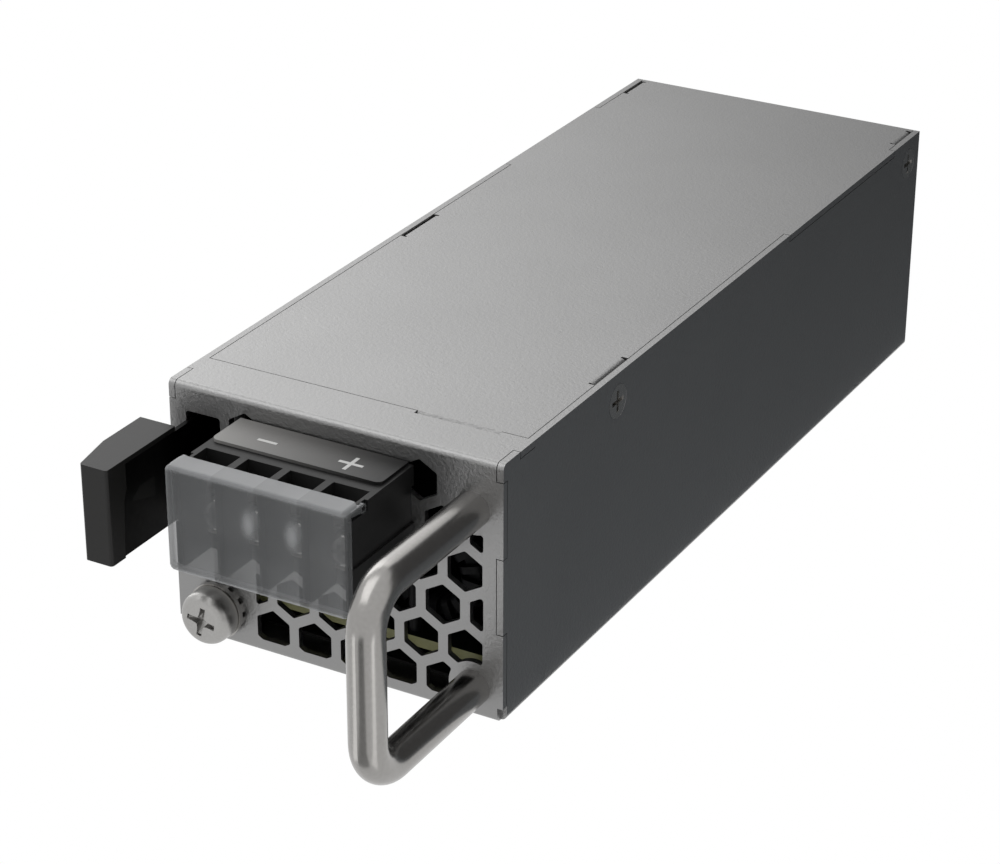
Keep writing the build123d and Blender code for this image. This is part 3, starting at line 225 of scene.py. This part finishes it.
world = bpy.data.worlds.new("studio")
bpy.context.scene.world = world
world_finish = Finish("studio", world)
background = world_finish.tree.nodes["Background"]
world_finish.join(background.inputs["Color"], WORLD_GREY)
world_finish.join(background.inputs["Strength"], 1.0)
quiet = Wire(world_finish, background.outputs[0])
world_out = world_finish.tree.nodes["World Output"]
world_finish.join(world_out.inputs["Surface"], white_to_eye(world_finish, quiet))


def soft_box(name, centre, aim, width, height, power):
    """Rectangular studio lamp at centre, turned to face aim, that reflections don't see."""
    data = bpy.data.lights.new(name, "AREA")
    data.shape = "RECTANGLE"
    data.size = width
    data.size_y = height
    data.energy = power
    lamp = added(name, data)
    lamp.location = centre
    lamp.visible_glossy = False
    lamp.rotation_mode = "QUATERNION"
    lamp.rotation_quaternion = (Vector(aim) - Vector(centre)).to_track_quat("-Z", "Y")


soft_box("rear_left_box", (-0.52, 0.72, 0.72), aim=(0.0, -0.03, 0.03), width=0.9, height=0.45, power=2.3)
soft_box("front_left_box", (-0.9, -0.6, 0.7), aim=(0.0, 0.0, 0.03), width=0.6, height=0.6, power=1.5)

# Reflector cards: only reflections see them. They give the flat sheet its slow changes of
# tone, and the round bar, the screws and the folds their bright and dark bands.
CARD_LIFT = 0.0004
BRIGHTEST = 3.0


def reflector(name, corners, glow, slope=(0.0, 0.0, 0.0), tint=WHITE):
    """Card that glows with glow plus slope times the place, from 0 to BRIGHTEST."""
    card = sheet(name, corners)
    card.visible_camera = False
    card.visible_shadow = False
    card.visible_diffuse = False
    finish = Finish(name)
    product = {"operation": "DOT_PRODUCT"}
    rise = finish.node("ShaderNodeVectorMath", product, {0: finish.place(), 1: slope}, "Value")
    share = ((rise + glow) * (1.0 / BRIGHTEST)).clamped()
    finish.set({
        "Base Color": BLACK,
        "Specular IOR Level": 0.0,
        "Emission Color": finish.blend(share, BLACK, [BRIGHTEST * part for part in tint]),
        "Emission Strength": 1.0,
    })
    finish.cover(card.data)


def on_floor(*points):
    """Corners just above the floor."""
    return [(x, y, CARD_LIFT) for x, y in points]


def upright_card(y, x, z):
    """Corners of an upright card across the case, between two limits on X and Z."""
    return [(x[0], y, z[0]), (x[1], y, z[0]), (x[1], y, z[1]), (x[0], y, z[1])]


# The card on the floor keeps the right side dark. The card behind the case, bright on the
# left, shades the top from front left to rear right.
right_card = on_floor((0.0272, -0.0725), (0.6, -0.0725), (0.6, 1.2), (0.0272, 1.2))
reflector("right_card", right_card, glow=0.168, slope=(0.0, -0.38, 0.0), tint=(0.95, 1.0, 1.05))
rear_card = upright_card(y=0.13, x=(-0.6, 0.0265), z=(0.001, 0.42))
reflector("rear_card", rear_card, glow=0.46, slope=(-5.2, 0.0, 3.3))

# In front a dim strip lies between two bright ones. A dark card stands at the rear right,
# and a bright one hangs over the front left.
front_strip = on_floor((0.017, -0.106), (0.027, -0.106), (0.060, -0.22), (0.006, -0.22))
reflector("front_strip", front_strip, glow=0.75, slope=(0.0, 3.0, 0.0))
left_strip = on_floor((0.013, -0.104), (0.017, -0.109), (-0.035, -0.19), (-0.052, -0.172))
reflector("left_strip", left_strip, glow=1.0, slope=(0.0, -7.0, 0.0))
right_strip = on_floor((0.029, -0.101), (0.0285, -0.106), (0.100, -0.138), (0.105, -0.118))
reflector("right_strip", right_strip, glow=1.2, slope=(12.0, 0.0, 0.0))
reflector("side_card", upright_card(y=0.32, x=(0.06, 1.1), z=(0.001, 0.9)), glow=0.1)
top_card = [(-0.8, -0.75, 0.7), (0.0, -0.75, 0.7), (0.0, -0.05, 0.7), (-0.8, -0.05, 0.7)]
reflector("top_card", top_card, glow=2.4)

# Case: the chassis with its front face, the cover and the rear panel are folded from
# zinc-plated steel sheet, left bare, with a very fine grain like orange peel.
STEEL_GREY = (0.272, 0.271, 0.270)
TONE_SWING = 0.10
GRAIN_PER_METRE = 2200.0
GRAIN_DEPTH = 0.00008
CLOUD_PER_METRE = 60.0

case_steel = Finish("zinc_plated_sheet")
grain = case_steel.noise(GRAIN_PER_METRE, 3.0, 0.6)
cloud = case_steel.noise(CLOUD_PER_METRE)
tone = (grain * 0.5 + cloud * 0.5).clamped()
dark_grey = [part * (1.0 - TONE_SWING) for part in STEEL_GREY]
pale_grey = [part * (1.0 + TONE_SWING) for part in STEEL_GREY]
case_steel.set({
    "Base Color": case_steel.blend(tone, dark_grey, pale_grey),
    "Metallic": 1.0,
    "Roughness": 0.34 + 0.08 * grain,
    "Normal": case_steel.bump(grain, GRAIN_DEPTH),
})
case_steel.dress("chassis", "top_cover", "rear_panel", "latch_bracket")

# Screws: small steel machine screws, washers and spacers, headed, rolled or turned and then
# plated. Their faces are bright and a little uneven in tone.
screw_steel = metal(
    "plated_screws", 5000.0, dark=(0.30, 0.293, 0.283), pale=(0.38, 0.372, 0.36),
    rough=0.17, spread=0.08, detail=2.0,
)
screw_steel.dress(
    "cover_screws", "handle_screws", "block_screws", "terminal_screws", "terminal_clamps",
    "earth_flat_washer", "earth_lock_washer", "earth_nut", "board_screws",
    "board_spacers", "fan_screws", "latch_rivets", "latch_pin",
)

# Earth screw: a cold-headed steel pan screw, plated to a satin face, that clamps an earth
# wire on its washers. Its crown rolls over softly into the rim and has a pressed cross.
SCREW_PLACE = (-0.01985, -0.07385, 0.0054)
HEAD_R = 0.0041
HEAD_H = 0.0037
CROWN_R = 0.0024
RIM_H = 0.0019
SEAT_BREAK = (0.0001, 0.0002)
SHANK_R = 0.002
SHANK_LEN = 0.00455
TIP_BREAK = 0.0002
CROSS_TURN = math.radians(-11)
CROSS_REACH = 0.00235
CROSS_HALF = 0.00044
CROSS_FLARE = 0.7
FLARE_REACH = 0.32
CROSS_DEPTH = (0.0004, 0.0019)
WALL_RUN = 0.00008
RING_STEPS = 320
CROWN_RINGS = 104
ROLL_RINGS = 26
RING_GAP = 0.0001


def head_height(r):
    """Height over the seat: flat over the crown, then a quarter of an ellipse down to the rim."""
    out = np.clip((r - CROWN_R) / (HEAD_R - CROWN_R), 0.0, 1.0)
    return RIM_H + (HEAD_H - RIM_H) * np.sqrt(1.0 - out ** 2)


def recess(x, z):
    """Depth of the cross at points on the head; its arms slope up from the middle to their ends.

    The wall of an arm falls over WALL_RUN by 3 s^2 - 2 s^3 of the distance inside its edge.
    """
    cross_x = x * math.cos(CROSS_TURN) + z * math.sin(CROSS_TURN)
    cross_z = z * math.cos(CROSS_TURN) - x * math.sin(CROSS_TURN)
    deepest = np.zeros_like(x)
    for along, aside in ((cross_x, cross_z), (cross_z, cross_x)):
        reach = np.abs(along) / CROSS_REACH
        half = CROSS_HALF * (1.0 + CROSS_FLARE * np.exp(-(reach / FLARE_REACH) ** 2))
        inside = np.minimum(half - np.abs(aside), CROSS_REACH - np.abs(along))
        wall = np.clip(inside / WALL_RUN, 0.0, 1.0)
        wall = wall * wall * (3.0 - 2.0 * wall)
        middle = np.clip(1.0 - reach, 0.0, 1.0)
        depth = CROSS_DEPTH[0] + (CROSS_DEPTH[1] - CROSS_DEPTH[0]) * middle
        deepest = np.maximum(deepest, wall * depth)
    return deepest


def screw_surface():
    """Points and faces of the screw, in rings from the middle of its crown to its tip."""
    crown = np.linspace(0.0, CROWN_R + RING_GAP, CROWN_RINGS + 1)[1:]
    roll = np.linspace(CROWN_R + 2 * RING_GAP, HEAD_R, ROLL_RINGS)
    head = np.concatenate([crown, roll])
    below_r = [HEAD_R, HEAD_R - SEAT_BREAK[0], SHANK_R, SHANK_R, SHANK_R - TIP_BREAK]
    below_h = [SEAT_BREAK[1], 0.0, 0.0, -SHANK_LEN + TIP_BREAK, -SHANK_LEN]
    turn = np.linspace(0.0, 2.0 * math.pi, RING_STEPS, endpoint=False)
    radius = np.concatenate([head, below_r])[:, None]
    x = radius * np.cos(turn)
    z = radius * np.sin(turn)
    height = np.repeat(np.concatenate([head_height(head), below_h])[:, None], RING_STEPS, axis=1)
    height[:len(head)] -= recess(x, z)[:len(head)]
    surface = np.stack([x, -height, z], axis=-1).reshape(-1, 3)
    poles = [(0.0, CROSS_DEPTH[1] - HEAD_H, 0.0), (0.0, SHANK_LEN, 0.0)]
    points = np.concatenate([surface, poles]) + np.array(SCREW_PLACE)

    crown_pole = len(surface)
    tip_pole = crown_pole + 1
    tip_ring = crown_pole - RING_STEPS
    sides = [(step, (step + 1) % RING_STEPS) for step in range(RING_STEPS)]
    faces = [
        (ring + a, ring + RING_STEPS + a, ring + RING_STEPS + b, ring + b)
        for ring in range(0, tip_ring, RING_STEPS) for a, b in sides
    ]
    faces += [(crown_pole, a, b) for a, b in sides]
    faces += [(tip_ring + a, tip_pole, tip_ring + b) for a, b in sides]
    return points.tolist(), faces


screw_points, screw_faces = screw_surface()
screw_mesh = bpy.data.meshes.new("earth_screw_head")
screw_mesh.from_pydata(screw_points, [], screw_faces)
screw_mesh.polygons.foreach_set("use_smooth", [True] * len(screw_mesh.polygons))
satin_steel = metal(
    "satin_screw_head", 3500.0, dark=(0.33, 0.325, 0.315), pale=(0.41, 0.405, 0.395),
    rough=0.34, spread=0.08, detail=2.0,
)
satin_steel.cover(screw_mesh)
screw_piece = added("earth_screw_head", screw_mesh)
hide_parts("earth_screw")
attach(screw_piece, "case")

# Handle: one round steel bar bent cold to a U and plated satin nickel, a little warm in
# colour, screwed on from inside the front face.
handle_steel = metal(
    "satin_nickel_bar", 1800.0, dark=(0.28, 0.272, 0.262), pale=(0.33, 0.322, 0.312),
    rough=0.21, spread=0.06, detail=2.0,
)
handle_steel.dress("handle")

# Latch: a stamped lever of dark spring steel on a headed pin, with its return spring, and
# a black moulded finger piece on its front end.
latch_steel = metal(
    "dark_spring_steel", 900.0, dark=(0.012, 0.012, 0.013), pale=(0.030, 0.029, 0.028),
    rough=0.28, spread=0.10,
)
latch_steel.dress("latch_lever", "latch_spring")

cap_plastic = Finish("black_cap_plastic")
cap_black = (0.0065, 0.0062, 0.0058)
cap_plastic.moulded(4000.0, cap_black, gloss=0.30, rough=0.42, depth=0.00002, strength=0.4)
cap_plastic.dress("latch_cap")

# Terminal block: a black moulded barrier block with tin-plated contact plates, clamp
# plates under four screws, and a raised plate on top that carries the polarity marks.
block_plastic = Finish("black_block_plastic")
block_black = (0.009, 0.009, 0.009)
block_plastic.moulded(4200.0, block_black, gloss=0.25, rough=0.42, depth=0.00002, strength=0.4)
block_plastic.dress("terminal_housing", "fan_frame", "fan_rotor", "filter_capacitor", "power_transistors")

contact_metal = metal("tinned_brass", 1500.0, dark=(0.60, 0.57, 0.50), pale=(0.72, 0.69, 0.62), rough=0.24)
contact_metal.dress("terminal_contacts")

# The raised plate is black with a painted sheen: pale at its left end, fading along it.
SHEEN_END = 0.016
SHEEN_FADE = 36.0
SHEEN_CURVE = 0.7

label_plastic = Finish("label_plate_plastic")
label_x = label_plastic.along(label_plastic.place(), 0)
painted_sheen_share = ((label_x + SHEEN_END) * SHEEN_FADE).clamped().math("POWER", SHEEN_CURVE)
label_black_and_painted_sheen = label_plastic.blend(painted_sheen_share, (0.28, 0.275, 0.266), (0.004, 0.004, 0.004))
label_plastic.moulded(5200.0, label_black_and_painted_sheen, gloss=0.3, rough=0.36, depth=0.00001, strength=0.3)
label_plastic.dress("terminal_label")

# Polarity marks: a minus and a plus printed on the label plate in pale ink, drawn as thin
# bars. The plus is one bar across and two short ones that end at it.
INK_Z = 0.03725
INK_THICK = 0.00003
MINUS_X = (-0.0089, -0.0058)
PLUS_X = (0.0042, 0.0080)
MARK_Y = -0.0772
MARK_WIDE = 0.00056
BAR_FACES = [(0, 3, 2, 1), (4, 5, 6, 7), (0, 1, 5, 4), (1, 2, 6, 5), (2, 3, 7, 6), (3, 0, 4, 7)]


def flat_bar(x, y):
    """Corners of a thin closed bar on the label between two limits on each axis."""
    z = (INK_Z - INK_THICK, INK_Z + INK_THICK)
    return [(x[i], y[j], z[k]) for k in (0, 1) for i, j in ((0, 0), (1, 0), (1, 1), (0, 1))]


half_mark = MARK_WIDE / 2
plus_mid = sum(PLUS_X) / 2
plus_reach = (PLUS_X[1] - PLUS_X[0]) / 2
level = (MARK_Y - half_mark, MARK_Y + half_mark)
plus_stem = (plus_mid - half_mark, plus_mid + half_mark)
bars = [
    flat_bar(MINUS_X, level),
    flat_bar(PLUS_X, level),
    flat_bar(plus_stem, (MARK_Y + half_mark, MARK_Y + plus_reach)),
    flat_bar(plus_stem, (MARK_Y - plus_reach, MARK_Y - half_mark)),
]
bar_points = [corner for bar in bars for corner in bar]
first_corners = range(0, len(bar_points), len(bars[0]))
bar_faces = [tuple(first + k for k in face) for first in first_corners for face in BAR_FACES]
mark_mesh = bpy.data.meshes.new("polarity_marks")
mark_mesh.from_pydata(bar_points, [], bar_faces)
marks_piece = added("polarity_marks", mark_mesh)
ink = Finish("pale_ink")
fleck = ink.noise(3000.0)
ink.set({"Base Color": ink.blend(fleck, (0.50, 0.50, 0.49), (0.60, 0.60, 0.59)), "Roughness": 0.5})
ink.cover(mark_mesh)
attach(marks_piece, "case")

# Flap: one thin moulding of frosted clear plastic that hooks over the pegs of the block.
# Its colour and alpha carry a random cloud of haze and painted light: painted highlights at its
# edges, painted shade and light across each pocket by the dividers behind it, painted light
# towards its foot, and two painted glints where two of the clamp screws sit behind it.
POCKET_SHIFT = 0.00786
POCKET_PITCH = 0.00685
FOOT_TOP = 0.0275
FOOT_FADE = 160.0
LEFT_EDGE = -0.0150
LOW_EDGE = 0.0221
TOP_EDGE = 0.0366
EDGE_FADE = 2500.0
TOP_FADE = 2000.0
GLINT_X = (-0.0021, 0.0048)
GLINT_Z = 0.0318
GLINT_PER_METRE = (620.0, 330.0)
HAZE_PER_METRE = 120.0
CLOUD_HAZE = 0.15
POCKET_PAINTED_LIGHT = 0.09
FOOT_PAINTED_LIGHT = 0.22
EDGE_PAINTED_HIGHLIGHT = 0.45
GLINT_PAINTED_LIGHT = 0.45

frosted = Finish("frosted_clear_plastic")
flap_x, flap_z = [frosted.along(frosted.place(), axis) for axis in (0, 2)]
# Masks for painted light: across each pocket, towards the foot and along the edges.
pocket = ((flap_x + POCKET_SHIFT) * (1.0 / POCKET_PITCH)).math("FRACT")
foot = ((FOOT_TOP - flap_z) * FOOT_FADE).clamped()
left_edge = ((LEFT_EDGE - flap_x) * EDGE_FADE).clamped()
low_edge = ((LOW_EDGE - flap_z) * EDGE_FADE).clamped()
top_edge = ((flap_z - TOP_EDGE) * TOP_FADE).clamped()
edge = (left_edge + low_edge + top_edge).clamped()
# The cloud is haze; the rest is painted shade, painted light and painted edge highlights.
haze_and_painted_light = frosted.noise(HAZE_PER_METRE, 1.0) * CLOUD_HAZE + POCKET_PAINTED_LIGHT * pocket
haze_and_painted_light = haze_and_painted_light + FOOT_PAINTED_LIGHT * pocket * foot + EDGE_PAINTED_HIGHLIGHT * edge
# Two painted glints where two of the clamp screws sit behind the flap.
for glint_x in GLINT_X:
    beside = (flap_x - glint_x) * GLINT_PER_METRE[0]
    above = (flap_z - GLINT_Z) * GLINT_PER_METRE[1]
    glint = (1 - beside * beside - above * above).clamped()
    haze_and_painted_light = haze_and_painted_light + GLINT_PAINTED_LIGHT * glint * glint
haze_and_painted_light = haze_and_painted_light.clamped()
frosted.set({
    "Base Color": frosted.blend(haze_and_painted_light, (0.085, 0.089, 0.092), (0.50, 0.51, 0.52)),
    "Roughness": 0.26,
    "Alpha": 0.44 + 0.4 * haze_and_painted_light,
    "IOR": 1.49,
})
frosted.dress("terminal_flap")

# Main board: glass-fibre board with dark green lacquer on both faces, darkened to near black
# as painted shade, its bare core showing at the sawn edges, and gold-plated pads on the rear tongue.
board = Finish("lacquered_board_painted_shade")
facing = board.node("ShaderNodeNewGeometry", output="Normal")
core_seen = 1 - board.along(facing, 2).math("ABSOLUTE")
weave = board.noise(1400.0)
core = board.blend(weave, (0.28, 0.28, 0.11), (0.38, 0.38, 0.17))
board.set({
    # Faces: dark green lacquer darkened to painted shade; sawn edges: the bare core.
    "Base Color": board.blend(core_seen, (0.004, 0.006, 0.004), core),
    "Roughness": 0.34 + 0.1 * weave,
})
board.dress("main_board")

gold = metal("gold_pads", 2500.0, dark=(0.72, 0.50, 0.20), pale=(0.85, 0.62, 0.27), rough=0.20)
gold.dress("edge_contacts")

# Inner pieces, dark behind the vents: the sheet under the board is insulating film; it, the choke,
# the core, the cans, the leads and the sinks are near black, as painted shade inside the case.
film = Finish("insulating_film").set({"Specular IOR Level": 0.2})
# Painted shade: the film is near black.
film.mottle(400.0, dark=(0.006, 0.006, 0.006), pale=(0.011, 0.011, 0.010), rough=0.26)
film.dress("insulating_sheet")

dark_parts = Finish("painted_shade_black").set({"Specular IOR Level": 0.15})
# Painted shade: the choke, core, cans and leads are near black.
dark_parts.mottle(1200.0, dark=(0.004, 0.004, 0.005), pale=(0.009, 0.009, 0.010), rough=0.36, depth=0.00003)
dark_parts.dress("input_leads", "choke", "transformer_core", "bulk_capacitors")

tape = Finish("winding_tape")
tape.mottle(700.0, dark=(0.16, 0.11, 0.02), pale=(0.24, 0.17, 0.04), rough=0.34)
tape.dress("transformer_winding")

sink_metal = Finish("sink_painted_shade").set({"Specular IOR Level": 0.2})
# Painted shade: the sinks are near black.
sink_metal.mottle(2000.0, dark=(0.004, 0.004, 0.004), pale=(0.010, 0.010, 0.010), rough=0.40)
sink_metal.dress("heat_sinks")
